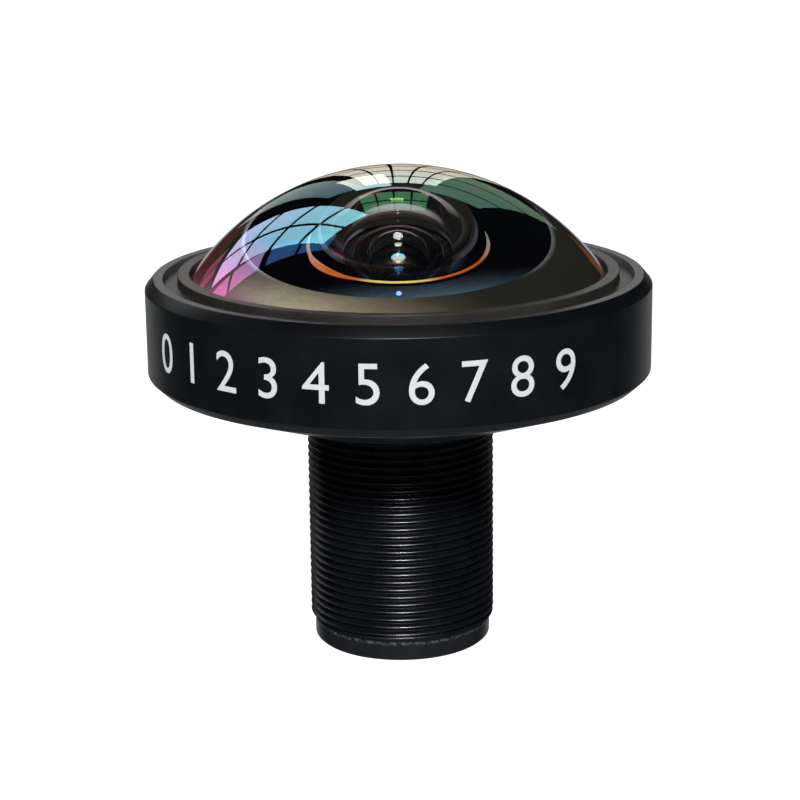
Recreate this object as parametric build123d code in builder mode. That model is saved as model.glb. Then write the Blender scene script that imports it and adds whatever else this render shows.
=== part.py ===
from build123d import *
import os
from math import sqrt

# A screw-in fisheye lens: a wide turned head with a domed front glass, on a
# threaded barrel that holds the smaller elements. All lengths are millimetres.
# The rear face of the barrel lies at height zero, the lens axis is the Z axis
# and the scene in front of the lens is towards +Z. The stack of elements sets
# the length of the barrel, and the head is built round the top of the stack.

# Mounting thread and the outside of the barrel
thread_radius = 6.0
thread_pitch = 0.5
thread_depth_share = 0.6134
thread_crest_share = 0.125
thread_base_share = 0.86
collar_height = 1.25
collar_step = 0.03
collar_chamfer = 0.2
nose_chamfer = 0.15

# Walls and bores of the barrel
rear_wall = 0.94
nose_wall = 0.9
thread_step = 0.22
thread_relief = 0.1
ledge_height = 0.6
ledge_hole_margin = 0.1

# Rear retaining ring and the filter glued into it
rear_inset = 0.9
rear_ring_height = 1.45
rear_ring_seat = 0.95
filter_ledge = 0.6
filter_recess_depth = 0.55
filter_thickness = 0.5
filter_bevel = 0.06
rear_slot_width = 0.9
rear_slot_depth = 0.45

# Rear lens, hollow in front, and seventh lens with the spacers around them
rear_lens_core = 0.87
rear_lens_seat = 1.18
rear_lens_hollow = 0.63
rear_lens_dome = 0.27
rear_gap = 0.53
spacer_margin = 0.1
seventh_core = 1.02
seventh_seat = 1.08
seventh_front_dome = 0.76
seventh_rear_dome = 0.37
seventh_gap = 0.15

# Cemented pair, the fifth and sixth lens, and the aperture stop
sixth_core = 0.52
sixth_rear_seat = 0.88
sixth_rear_dome = 0.47
joint_seat = 0.38
joint_depth = 1.83
cement_thickness = 0.01
fifth_core = 0.73
fifth_front_seat = 1.28
fifth_front_dome = 0.84
stop_gap = 0.21
stop_thickness = 0.12
stop_hole_radius = 1.1

# Fourth and third lens, in front of the ledge
fourth_core = 3.1
fourth_rear_seat = 2.38
fourth_rear_dome = 0.35
fourth_front_seat = 0.88
fourth_front_dome = 1.25
third_spacer_height = 1.0
third_core = 1.74
third_rear_seat = 1.28
third_rear_hollow = 1.45
third_front_seat = 0.68
third_front_hollow = 0.3
third_retainer_height = 0.7
third_retainer_lap = 0.55
third_retainer_inset = 0.1

# Second lens, a small steep meniscus, and its threaded retainer
hub_web = 0.6
web_hole_margin = 0.25
second_rim = 4.3
second_edge = 0.5
second_dome = 2.3
second_rear_seat = 1.7
second_hollow = 2.1
retainer_lap = 0.35
retainer_lip = 0.16
retainer_skirt = 1.3
retainer_gap = 0.1
retainer_chamfer = 0.08

# Front lens. Its back has a flat seat ground round a polished land, and the
# hollow in the middle of the land covers the second lens
glass_rim = 13.5
glass_edge = 0.6
glass_dome = 7.33
glass_bevel = 0.12
land_radius = 7.3
land_height = 0.55
land_gap = 0.08
land_clearance = 0.1
hollow_clearance = 0.25
hollow_gap = 2.35
hollow_bevel = 0.12

# Black film washers, and the round seal under the front lens
film_thickness = 0.1
film_margin = 0.2
front_film_width = 2.0
seal_inset = 1.25
seal_groove_width = 0.8
seal_groove_depth = 0.5

# Front retaining ring
glass_clearance = 0.1
fence_width = 0.3
fence_height = 0.45
channel_depth = 0.65
ring_wall = 0.95
ring_inset = 0.44
ring_gap = 0.1
ring_clearance = 0.05
lip_lap = 0.26
lip_width = 0.73
lip_height = 0.5
lip_chamfer = 0.1

# Outside of the head
rim_width = 0.6
rim_rise = 1.34
upper_chamfer_width = 0.56
upper_chamfer_height = 0.64
wall_height = 5.35
lower_chamfer_width = 0.66
lower_chamfer_height = 0.6
cone_height = 2.65
hub_wall = 1.8
hub_clearance = 0.05
hub_chamfer = 0.05
edge_break = 0.06

# Fits and small edges shared by many pieces
lens_clearance = 0.02
thread_clearance = 0.03
lens_bevel = 0.08
slot_width = 1.0
slot_depth = 0.4
cut_overrun = 1.0

os.makedirs("parts", exist_ok=True)


def sphere_radius(aperture, depth):
    """Radius of the spherical face that is this deep at this aperture."""
    return (aperture**2 + depth**2) / (2 * depth)


def drop(aperture, depth, reach):
    """How far that face falls away from its vertex at the distance reach from the axis."""
    radius = sphere_radius(aperture, depth)
    return radius - sqrt(radius**2 - reach**2)


def domed_edge(vertex, aperture, depth):
    """Section of a spherical face, from its vertex on the axis out to its aperture."""
    middle = aperture / 2
    toward = 1 if depth > 0 else -1
    ThreePointArc(
        (0, vertex),
        (middle, vertex - toward * drop(aperture, abs(depth), middle)),
        (aperture, vertex - depth),
    )


def edge_thickness(core, *hollows):
    """Thickness at the rim of a lens that keeps this much glass between its hollows."""
    return core + sum(hollows)


def mounted_lens(rim, bottom, top, front, rear):
    """Ground lens with a flat seat round each face, and a bevel on its rim.

    A face is the width of its seat and the height of its dome, negative for a hollow.
    """
    front_seat_width, front_dome = front
    rear_seat_width, rear_dome = rear
    with BuildPart() as lens:
        with BuildSketch(Plane.XZ):
            with BuildLine():
                domed_edge(top + front_dome, rim - front_seat_width, front_dome)
                Polyline(
                    (rim - front_seat_width, top),
                    (rim - lens_bevel, top),
                    (rim, top - lens_bevel),
                    (rim, bottom + lens_bevel),
                    (rim - lens_bevel, bottom),
                    (rim - rear_seat_width, bottom),
                )
                domed_edge(bottom - rear_dome, rim - rear_seat_width, -rear_dome)
                Line((0, bottom - rear_dome), (0, top + front_dome))
            make_face()
        revolve(axis=Axis.Z)
    return lens


def plain_ring(outer, inner, bottom, height):
    """Turned ring or punched washer with square faces."""
    with BuildPart() as ring:
        with BuildSketch(Plane.XY.offset(bottom)):
            Circle(outer)
            Circle(inner, mode=Mode.SUBTRACT)
        extrude(amount=height)
    return ring


def key_slots(outer, floor, height, width):
    """Bar across a ring whose two ends are the slots for a spanner key."""
    with BuildPart() as bar:
        with BuildSketch(Plane.XY.offset(floor)):
            Rectangle(2 * (outer + cut_overrun), width)
        extrude(amount=height)
    return bar


# Radii of the barrel, from its thread inwards
thread_depth = thread_pitch * thread_depth_share
thread_root = thread_radius - thread_depth
collar_radius = thread_root + collar_step
rear_thread_radius = thread_root - rear_wall
rear_bore_radius = rear_thread_radius - thread_step
rear_rim = rear_bore_radius - lens_clearance
nose_thread_radius = thread_radius - nose_wall
nose_bore_radius = nose_thread_radius - thread_step
nose_rim = nose_bore_radius - lens_clearance
ledge_hole_radius = nose_rim - fourth_rear_seat + ledge_hole_margin

# Heights in the barrel, from its rear face to its nose
rear_lens_bottom = rear_inset + rear_ring_height
rear_lens_top = rear_lens_bottom + edge_thickness(rear_lens_core, rear_lens_hollow)
rear_spacer_height = rear_gap + seventh_rear_dome
seventh_bottom = rear_lens_top + rear_spacer_height
seventh_top = seventh_bottom + edge_thickness(seventh_core)
seventh_spacer_height = seventh_front_dome + seventh_gap + sixth_rear_dome
sixth_bottom = seventh_top + seventh_spacer_height
sixth_top = sixth_bottom + edge_thickness(sixth_core, joint_depth)
fifth_bottom = sixth_top + cement_thickness
fifth_top = fifth_bottom + edge_thickness(fifth_core)
stop_spacer_height = fifth_front_dome + stop_gap
stop_bottom = fifth_top + stop_spacer_height
ledge_bottom = stop_bottom + stop_thickness
ledge_top = ledge_bottom + ledge_height
fourth_bottom = ledge_top + film_thickness
fourth_top = fourth_bottom + edge_thickness(fourth_core)
third_bottom = fourth_top + third_spacer_height
third_top = third_bottom + edge_thickness(third_core, third_rear_hollow, third_front_hollow)
barrel_top = third_top + third_retainer_height + third_retainer_inset

# Heights in the head, from the nose of the barrel to the top of the dome
second_seat = barrel_top + hub_web
second_bottom = second_seat + film_thickness
second_edge_top = second_bottom + second_edge
second_apex = second_edge_top + second_dome
retainer_reach = second_rim - retainer_lap
retainer_contact = second_apex - drop(second_rim, second_dome, retainer_reach)
retainer_top = retainer_contact + retainer_lip
land_bottom = retainer_top + land_gap
glass_back = land_bottom + land_height
front_seat = glass_back - film_thickness
glass_edge_top = glass_back + glass_edge
glass_apex = glass_edge_top + glass_dome
rim_top = front_seat + rim_rise
wall_top = rim_top - upper_chamfer_height
wall_bottom = wall_top - wall_height
cone_top = wall_bottom - lower_chamfer_height
hub_bottom = cone_top - cone_height

# Radii in the head, from the front glass outwards
glass_bore_radius = glass_rim + glass_clearance
fence_radius = glass_bore_radius + fence_width
ring_inner_radius = fence_radius + ring_clearance
ring_bore_radius = ring_inner_radius + ring_wall
rim_radius = ring_bore_radius + rim_width
head_radius = rim_radius + upper_chamfer_width
cone_radius = head_radius - lower_chamfer_width
second_bore_radius = second_rim + lens_clearance
second_hollow_aperture = second_rim - second_rear_seat
retainer_bore_radius = second_bore_radius + retainer_skirt
web_hole_radius = second_hollow_aperture + web_hole_margin
land_bore_radius = land_radius + land_clearance
seal_radius = glass_bore_radius - seal_inset

# Helical ridge of the mounting thread, from the collar up to the hub
ridge_base = thread_pitch * thread_base_share / 2
ridge_crest = thread_pitch * thread_crest_share / 2
ridge_root = thread_root - thread_depth * thread_crest_share
ridge_start = collar_height + ridge_base

with BuildPart() as thread_ridge:
    with BuildLine() as thread_path:
        Helix(
            pitch=thread_pitch,
            height=hub_bottom - ridge_base - ridge_start,
            radius=thread_root,
            center=(0, 0, ridge_start),
        )
    with BuildSketch(Plane.XZ):
        with BuildLine():
            Polyline(
                (ridge_root, ridge_start - ridge_base),
                (thread_radius, ridge_start - ridge_crest),
                (thread_radius, ridge_start + ridge_crest),
                (ridge_root, ridge_start + ridge_base),
                close=True,
            )
        make_face()
    sweep(path=thread_path.line, is_frenet=True)

# Threaded barrel: a plain collar, the threaded length, and a plain length
# inside the hub, bored from both ends down to a ledge that carries the stop
with BuildPart() as threaded_barrel:
    with BuildSketch(Plane.XZ):
        with BuildLine():
            Polyline(
                (0, 0),
                (collar_radius - collar_chamfer, 0),
                (collar_radius, collar_chamfer),
                (collar_radius, collar_height),
                (thread_root, collar_height),
                (thread_root, hub_bottom),
                (thread_radius, hub_bottom),
                (thread_radius, barrel_top - nose_chamfer),
                (thread_radius - nose_chamfer, barrel_top),
                (0, barrel_top),
                close=True,
            )
        make_face()
    revolve(axis=Axis.Z)
    add(thread_ridge.part)
    with BuildSketch(Plane.XZ):
        with BuildLine():
            Polyline(
                (0, -cut_overrun),
                (rear_thread_radius, -cut_overrun),
                (rear_thread_radius, rear_lens_bottom + thread_relief),
                (rear_bore_radius, rear_lens_bottom + thread_relief),
                (rear_bore_radius, ledge_bottom),
                (ledge_hole_radius, ledge_bottom),
                (ledge_hole_radius, ledge_top),
                (nose_bore_radius, ledge_top),
                (nose_bore_radius, third_top - thread_relief),
                (nose_thread_radius, third_top - thread_relief),
                (nose_thread_radius, barrel_top + cut_overrun),
                (0, barrel_top + cut_overrun),
                close=True,
            )
        make_face()
    revolve(axis=Axis.Z, mode=Mode.SUBTRACT)

threaded_barrel.part.label = "threaded_barrel"
export_step(threaded_barrel.part, "parts/threaded_barrel.step")

# Aperture stop: a thin blackened disc against the rear of the ledge
aperture_stop = plain_ring(rear_rim, stop_hole_radius, stop_bottom, stop_thickness)
aperture_stop.part.label = "aperture_stop"
export_step(aperture_stop.part, "parts/aperture_stop.step")

# Stop spacer ring: holds the cemented pair off the stop
stop_spacer_ring = plain_ring(
    rear_rim,
    rear_rim - fifth_front_seat + spacer_margin,
    fifth_top,
    stop_spacer_height,
)
stop_spacer_ring.part.label = "stop_spacer_ring"
export_step(stop_spacer_ring.part, "parts/stop_spacer_ring.step")

# Fifth and sixth lens: a positive element whose rear dome fills the hollow of
# the negative one, joined by a film of cement
fifth_lens = mounted_lens(
    rear_rim,
    fifth_bottom,
    fifth_top,
    front=(fifth_front_seat, fifth_front_dome),
    rear=(joint_seat, joint_depth),
)
fifth_lens.part.label = "fifth_lens"
export_step(fifth_lens.part, "parts/fifth_lens.step")

sixth_lens = mounted_lens(
    rear_rim,
    sixth_bottom,
    sixth_top,
    front=(joint_seat, -joint_depth),
    rear=(sixth_rear_seat, sixth_rear_dome),
)
sixth_lens.part.label = "sixth_lens"
export_step(sixth_lens.part, "parts/sixth_lens.step")

# Seventh spacer ring and seventh lens
seventh_spacer_ring = plain_ring(
    rear_rim,
    rear_rim - sixth_rear_seat + spacer_margin,
    seventh_top,
    seventh_spacer_height,
)
seventh_spacer_ring.part.label = "seventh_spacer_ring"
export_step(seventh_spacer_ring.part, "parts/seventh_spacer_ring.step")

seventh_lens = mounted_lens(
    rear_rim,
    seventh_bottom,
    seventh_top,
    front=(seventh_seat, seventh_front_dome),
    rear=(seventh_seat, seventh_rear_dome),
)
seventh_lens.part.label = "seventh_lens"
export_step(seventh_lens.part, "parts/seventh_lens.step")

# Rear spacer ring and rear lens, the last element before the filter
rear_spacer_ring = plain_ring(
    rear_rim,
    rear_rim - seventh_seat + spacer_margin,
    rear_lens_top,
    rear_spacer_height,
)
rear_spacer_ring.part.label = "rear_spacer_ring"
export_step(rear_spacer_ring.part, "parts/rear_spacer_ring.step")

rear_lens = mounted_lens(
    rear_rim,
    rear_lens_bottom,
    rear_lens_top,
    front=(rear_lens_seat, -rear_lens_hollow),
    rear=(rear_lens_seat, rear_lens_dome),
)
rear_lens.part.label = "rear_lens"
export_step(rear_lens.part, "parts/rear_lens.step")

# Rear retaining ring: screwed in behind the rear lens, with two key slots and
# a recess for the filter
rear_ring_radius = rear_thread_radius - thread_clearance
filter_seat_height = rear_inset + filter_recess_depth
filter_bore_radius = rear_ring_radius - filter_ledge

with BuildPart() as rear_retaining_ring:
    add(plain_ring(rear_ring_radius, rear_rim - rear_ring_seat, rear_inset, rear_ring_height).part)
    with BuildSketch(Plane.XY.offset(filter_seat_height)):
        Circle(filter_bore_radius)
    extrude(amount=-(filter_recess_depth + cut_overrun), mode=Mode.SUBTRACT)
    slots = key_slots(
        rear_ring_radius,
        rear_inset - cut_overrun,
        cut_overrun + rear_slot_depth,
        rear_slot_width,
    )
    add(slots.part, mode=Mode.SUBTRACT)

rear_retaining_ring.part.label = "rear_retaining_ring"
export_step(rear_retaining_ring.part, "parts/rear_retaining_ring.step")

# Infrared filter: a coated glass disc glued into the recess
with BuildPart() as infrared_filter:
    with BuildSketch(Plane.XY.offset(filter_seat_height)):
        Circle(filter_bore_radius - lens_clearance)
    extrude(amount=-filter_thickness)
    chamfer(infrared_filter.edges().filter_by(GeomType.CIRCLE), filter_bevel)

infrared_filter.part.label = "infrared_filter"
export_step(infrared_filter.part, "parts/infrared_filter.step")

# Fourth shade washer and fourth lens: the thick positive element, in front of
# the ledge of the barrel
fourth_shade_washer = plain_ring(nose_rim, ledge_hole_radius, ledge_top, film_thickness)
fourth_shade_washer.part.label = "fourth_shade_washer"
export_step(fourth_shade_washer.part, "parts/fourth_shade_washer.step")

fourth_lens = mounted_lens(
    nose_rim,
    fourth_bottom,
    fourth_top,
    front=(fourth_front_seat, fourth_front_dome),
    rear=(fourth_rear_seat, fourth_rear_dome),
)
fourth_lens.part.label = "fourth_lens"
export_step(fourth_lens.part, "parts/fourth_lens.step")

# Third spacer ring and third lens, which is hollow on both faces
third_spacer_ring = plain_ring(
    nose_rim,
    nose_rim - fourth_front_seat + spacer_margin,
    fourth_top,
    third_spacer_height,
)
third_spacer_ring.part.label = "third_spacer_ring"
export_step(third_spacer_ring.part, "parts/third_spacer_ring.step")

third_lens = mounted_lens(
    nose_rim,
    third_bottom,
    third_top,
    front=(third_front_seat, -third_front_hollow),
    rear=(third_rear_seat, -third_rear_hollow),
)
third_lens.part.label = "third_lens"
export_step(third_lens.part, "parts/third_lens.step")

# Third lens retainer: a threaded ring in the nose of the barrel
third_retainer_radius = nose_thread_radius - thread_clearance

with BuildPart() as third_lens_retainer:
    ring = plain_ring(
        third_retainer_radius,
        nose_rim - third_retainer_lap,
        third_top,
        third_retainer_height,
    )
    add(ring.part)
    slots = key_slots(
        third_retainer_radius,
        third_top + third_retainer_height - slot_depth,
        slot_depth + cut_overrun,
        slot_width,
    )
    add(slots.part, mode=Mode.SUBTRACT)

third_lens_retainer.part.label = "third_lens_retainer"
export_step(third_lens_retainer.part, "parts/third_lens_retainer.step")

# Front housing: the wide turned head. Its hub screws down over the barrel as
# far as a web, and in front it is bored for the second lens, the front lens
# and the front retaining ring
with BuildPart() as front_housing:
    with BuildSketch(Plane.XZ):
        with BuildLine():
            Polyline(
                (thread_radius + hub_clearance, hub_bottom),
                (thread_radius + hub_wall, hub_bottom),
                (cone_radius, cone_top),
                (head_radius, wall_bottom),
                (head_radius, wall_top),
                (rim_radius, rim_top),
                (ring_bore_radius, rim_top),
                (ring_bore_radius, front_seat - channel_depth),
                (fence_radius, front_seat - channel_depth),
                (fence_radius, front_seat + fence_height),
                (glass_bore_radius, front_seat + fence_height),
                (glass_bore_radius, front_seat),
                (land_bore_radius, front_seat),
                (land_bore_radius, retainer_top),
                (retainer_bore_radius, retainer_top),
                (retainer_bore_radius, second_edge_top),
                (second_bore_radius, second_edge_top),
                (second_bore_radius, second_seat),
                (web_hole_radius, second_seat),
                (web_hole_radius, barrel_top),
                (thread_radius + hub_clearance, barrel_top),
                close=True,
            )
        make_face()
    revolve(axis=Axis.Z)
    with BuildSketch(Plane.XY.offset(front_seat - seal_groove_depth)):
        Circle(seal_radius + seal_groove_width / 2)
        Circle(seal_radius - seal_groove_width / 2, mode=Mode.SUBTRACT)
    extrude(amount=seal_groove_depth, mode=Mode.SUBTRACT)
    chamfer(front_housing.edges().group_by(Axis.Z)[-1], edge_break)
    chamfer(front_housing.edges().group_by(Axis.Z)[0], hub_chamfer)

front_housing.part.label = "front_housing"
export_step(front_housing.part, "parts/front_housing.step")

# Second shade washer: black film between the web and the second lens
second_shade_washer = plain_ring(second_rim, web_hole_radius, second_seat, film_thickness)
second_shade_washer.part.label = "second_shade_washer"
export_step(second_shade_washer.part, "parts/second_shade_washer.step")

# Second lens: its dome reaches up into the hollow of the front lens
with BuildPart() as second_lens:
    with BuildSketch(Plane.XZ):
        with BuildLine():
            domed_edge(second_apex, second_rim, second_dome)
            Polyline(
                (second_rim, second_edge_top),
                (second_rim, second_bottom),
                (second_hollow_aperture, second_bottom),
            )
            domed_edge(second_bottom + second_hollow, second_hollow_aperture, second_hollow)
            Line((0, second_bottom + second_hollow), (0, second_apex))
        make_face()
    revolve(axis=Axis.Z)

second_lens.part.label = "second_lens"
export_step(second_lens.part, "parts/second_lens.step")

# Second lens retainer: a threaded ring whose lip bears on the dome, flush with
# the floor under the land of the front lens
with BuildPart() as second_lens_retainer:
    with BuildSketch(Plane.XZ):
        with BuildLine():
            Polyline(
                (retainer_reach, retainer_contact),
                (retainer_reach, retainer_top - retainer_chamfer),
                (retainer_reach + retainer_chamfer, retainer_top),
                (retainer_bore_radius - thread_clearance, retainer_top),
                (retainer_bore_radius - thread_clearance, second_edge_top + retainer_gap),
                (second_bore_radius + retainer_gap, second_edge_top + retainer_gap),
                (second_bore_radius + retainer_gap, retainer_contact),
                close=True,
            )
        make_face()
    revolve(axis=Axis.Z)

second_lens_retainer.part.label = "second_lens_retainer"
export_step(second_lens_retainer.part, "parts/second_lens_retainer.step")

# Front shade washer: black film on the seat of the front lens, round its land
front_shade_washer = plain_ring(
    land_bore_radius + film_margin + front_film_width,
    land_bore_radius + film_margin,
    front_seat,
    film_thickness,
)
front_shade_washer.part.label = "front_shade_washer"
export_step(front_shade_washer.part, "parts/front_shade_washer.step")

# Front seal: a round cord that touches the floor of its groove and the glass
seal_cord_radius = (seal_groove_depth + film_thickness) / 2

with BuildPart() as front_seal:
    with BuildSketch(Plane.XZ):
        with Locations((seal_radius, glass_back - seal_cord_radius)):
            Circle(seal_cord_radius)
    revolve(axis=Axis.Z)

front_seal.part.label = "front_seal"
export_step(front_seal.part, "parts/front_seal.step")

# Front lens: the dome that stands out of the head, with a ground seat, a
# polished land and a hollow that clears the second lens
second_width = sqrt(
    sphere_radius(second_rim, second_dome) ** 2
    - (sphere_radius(second_rim, second_dome) - second_apex + land_bottom) ** 2
)
hollow_aperture = second_width + hollow_clearance
hollow_apex = second_apex + hollow_gap

with BuildPart() as front_lens:
    with BuildSketch(Plane.XZ):
        with BuildLine():
            domed_edge(glass_apex, glass_rim, glass_dome)
            Polyline(
                (glass_rim, glass_edge_top),
                (glass_rim, glass_back + glass_bevel),
                (glass_rim - glass_bevel, glass_back),
                (land_radius, glass_back),
                (land_radius, land_bottom),
                (hollow_aperture, land_bottom),
            )
            domed_edge(hollow_apex, hollow_aperture, hollow_apex - land_bottom)
            Line((0, hollow_apex), (0, glass_apex))
        make_face()
    revolve(axis=Axis.Z)
    land_edges = front_lens.edges().filter_by(GeomType.CIRCLE).group_by(Axis.Z)[0]
    hollow_edge = land_edges.sort_by(SortBy.RADIUS)[0]
    chamfer(hollow_edge, hollow_bevel)

front_lens.part.label = "front_lens"
export_step(front_lens.part, "parts/front_lens.step")

# Front retaining ring: screwed into the head, over the fence round the glass,
# with a raised lip that bears on the dome
lip_radius = glass_rim - lip_lap
lip_contact = glass_apex - drop(glass_rim, glass_dome, lip_radius)
lip_top = lip_contact + lip_height
ring_outer_radius = ring_bore_radius - thread_clearance
ring_top = rim_top - ring_inset

with BuildPart() as front_retaining_ring:
    with BuildSketch(Plane.XZ):
        with BuildLine():
            Polyline(
                (lip_radius, lip_contact),
                (lip_radius, lip_top),
                (lip_radius + lip_width, lip_top),
                (lip_radius + lip_width, ring_top),
                (ring_outer_radius, ring_top),
                (ring_outer_radius, front_seat - channel_depth + ring_gap),
                (ring_inner_radius, front_seat - channel_depth + ring_gap),
                (ring_inner_radius, front_seat + fence_height + ring_gap),
                (glass_bore_radius, front_seat + fence_height + ring_gap),
                (glass_bore_radius, lip_contact),
                close=True,
            )
        make_face()
    revolve(axis=Axis.Z)
    chamfer(front_retaining_ring.edges().group_by(Axis.Z)[-1], lip_chamfer)

front_retaining_ring.part.label = "front_retaining_ring"
export_step(front_retaining_ring.part, "parts/front_retaining_ring.step")
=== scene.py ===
from math import asin, cos, pi, radians, sin, sqrt

import bmesh
import bpy
from mathutils import Matrix, Vector


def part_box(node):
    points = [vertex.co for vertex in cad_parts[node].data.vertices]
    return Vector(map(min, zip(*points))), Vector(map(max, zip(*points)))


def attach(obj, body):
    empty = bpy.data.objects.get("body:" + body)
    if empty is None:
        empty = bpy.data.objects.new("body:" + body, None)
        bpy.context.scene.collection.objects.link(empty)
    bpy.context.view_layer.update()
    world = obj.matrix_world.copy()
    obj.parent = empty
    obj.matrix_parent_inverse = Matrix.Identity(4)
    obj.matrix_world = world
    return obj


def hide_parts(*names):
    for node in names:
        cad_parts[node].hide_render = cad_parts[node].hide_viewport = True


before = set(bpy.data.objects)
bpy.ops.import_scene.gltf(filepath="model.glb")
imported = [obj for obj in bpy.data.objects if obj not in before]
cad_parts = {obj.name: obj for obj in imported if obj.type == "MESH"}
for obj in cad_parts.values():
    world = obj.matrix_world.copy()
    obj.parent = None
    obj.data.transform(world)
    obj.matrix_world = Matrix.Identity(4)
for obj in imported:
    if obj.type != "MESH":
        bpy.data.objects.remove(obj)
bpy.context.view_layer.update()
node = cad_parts
MM = 0.001


# Threaded barrel. A tube turned from aluminium bar, with a fine single thread
# cut along it, a plain collar that starts the thread in its holder, and a plain
# nose that the head screws down over. It is anodised black after cutting.
def extent(name):
    """Outer radius, lowest level and highest level of a round piece, in millimetres."""
    low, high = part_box(name)
    return high.x / MM, low.z / MM, high.z / MM


BARREL_RADIUS, BARREL_BOTTOM, BARREL_TOP = extent("threaded_barrel")
THREAD_ROOT = 5.6933
THREAD_PITCH = 0.5
THREAD_START = 1.25
THREAD_END = 15.2
THREAD_RUN_IN = 0.3
# One turn's profile: height as a share of the pitch, and depth as a share of the ridge.
THREAD_SHARES = [
    (-0.5, 0.0),
    (-0.44, 0.0),
    (-0.38, 0.04),
    (-0.16, 0.745),
    (-0.11, 0.87),
    (-0.055, 0.965),
    (0.0, 1.0),
    (0.055, 0.965),
    (0.11, 0.87),
    (0.16, 0.745),
    (0.38, 0.04),
    (0.44, 0.0),
]
COLLAR_RADIUS = 5.7233
COLLAR_CHAMFER = 0.2
NOSE_CHAMFER = 0.15
THREAD_RELIEF = 0.1
FIT = 0.02
THREAD_FIT = 0.03
THREAD_DYE = (0.0016, 0.0021, 0.0032)
WORN_LEVEL = THREAD_START - 0.05


class Wire:
    """An output of a node, which can stand in a sum as a number does."""

    def __init__(self, finish, socket):
        self.finish = finish
        self.socket = socket

    def work(self, operation, left, right):
        return self.finish.node("ShaderNodeMath", {"operation": operation}, {0: left, 1: right})

    def __add__(self, other):
        return self.work("ADD", self, other)

    def __sub__(self, other):
        return self.work("SUBTRACT", self, other)

    def __rsub__(self, other):
        return self.work("SUBTRACT", other, self)

    def __mul__(self, other):
        return self.work("MULTIPLY", self, other)

    def __mod__(self, other):
        return self.work("MODULO", self, other)

    def __pow__(self, other):
        return self.work("POWER", self, other)

    def __gt__(self, other):
        return self.work("GREATER_THAN", self, other)

    __radd__ = __add__
    __rmul__ = __mul__


class Finish:
    """The nodes of one finish of the lens, of a lamp or of the studio's own light."""

    def __init__(self, owner):
        owner.use_nodes = True
        self.owner = owner
        self.tree = owner.node_tree
        self.tree.nodes.clear()

    def node(self, kind, settings, sockets, output=0):
        made = self.tree.nodes.new(kind)
        for setting, value in settings.items():
            setattr(made, setting, value)
        for name, value in sockets.items():
            if isinstance(value, Wire):
                self.tree.links.new(value.socket, made.inputs[name])
            elif isinstance(value, tuple) and made.inputs[name].type == "RGBA":
                made.inputs[name].default_value = (*value, 1.0)
            else:
                made.inputs[name].default_value = value
        return Wire(self, made.outputs[output]) if made.outputs else made

    def surface(self, shader):
        self.node("ShaderNodeOutputMaterial", {}, {"Surface": shader})
        return self.owner

    def place(self):
        """Where a point lies in the lens, in millimetres from the middle of its rear face."""
        at = self.node("ShaderNodeTexCoord", {}, {}, "Object")
        return self.node("ShaderNodeVectorMath", {"operation": "SCALE"}, {0: at, "Scale": 1 / MM})

    def parts(self, vector):
        made = self.node("ShaderNodeSeparateXYZ", {}, {0: vector}).socket.node
        return [Wire(self, out) for out in made.outputs]

    def along(self, x, y, z):
        return self.node("ShaderNodeCombineXYZ", {}, {0: x, 1: y, 2: z})

    def noise(self, vector, scale, detail=2.0, rough=0.5):
        return self.node(
            "ShaderNodeTexNoise",
            {},
            {"Vector": vector, "Scale": scale, "Detail": detail, "Roughness": rough},
        )

    def span(self, value, low, high, to_low=0.0, to_high=1.0):
        """value, spread from low..high over to_low..to_high and kept between them."""
        return self.node(
            "ShaderNodeMapRange",
            {},
            {"Value": value, "From Min": low, "From Max": high, "To Min": to_low, "To Max": to_high},
        )

    def blend(self, share, first, second):
        """The colour first, turning into the colour second as share grows."""
        return self.node("ShaderNodeMix", {"data_type": "RGBA"}, {0: share, 6: first, 7: second}, 2)

    def bump(self, height, strength, depth):
        """A surface relief that is depth millimetres deep where height goes from 0 to 1."""
        return self.node(
            "ShaderNodeBump",
            {},
            {"Height": height, "Strength": strength, "Distance": depth * MM},
        )

    def from_axis(self, x, y):
        """How far a point lies from the lens's axis."""
        return (x * x + y * y) ** 0.5


# Pale grey of dust, also used as painted fill light on a shaded wall.
DUST_AND_PAINTED_FILL_GREY = (0.3, 0.31, 0.33)
NOWHERE = -1.0


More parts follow.
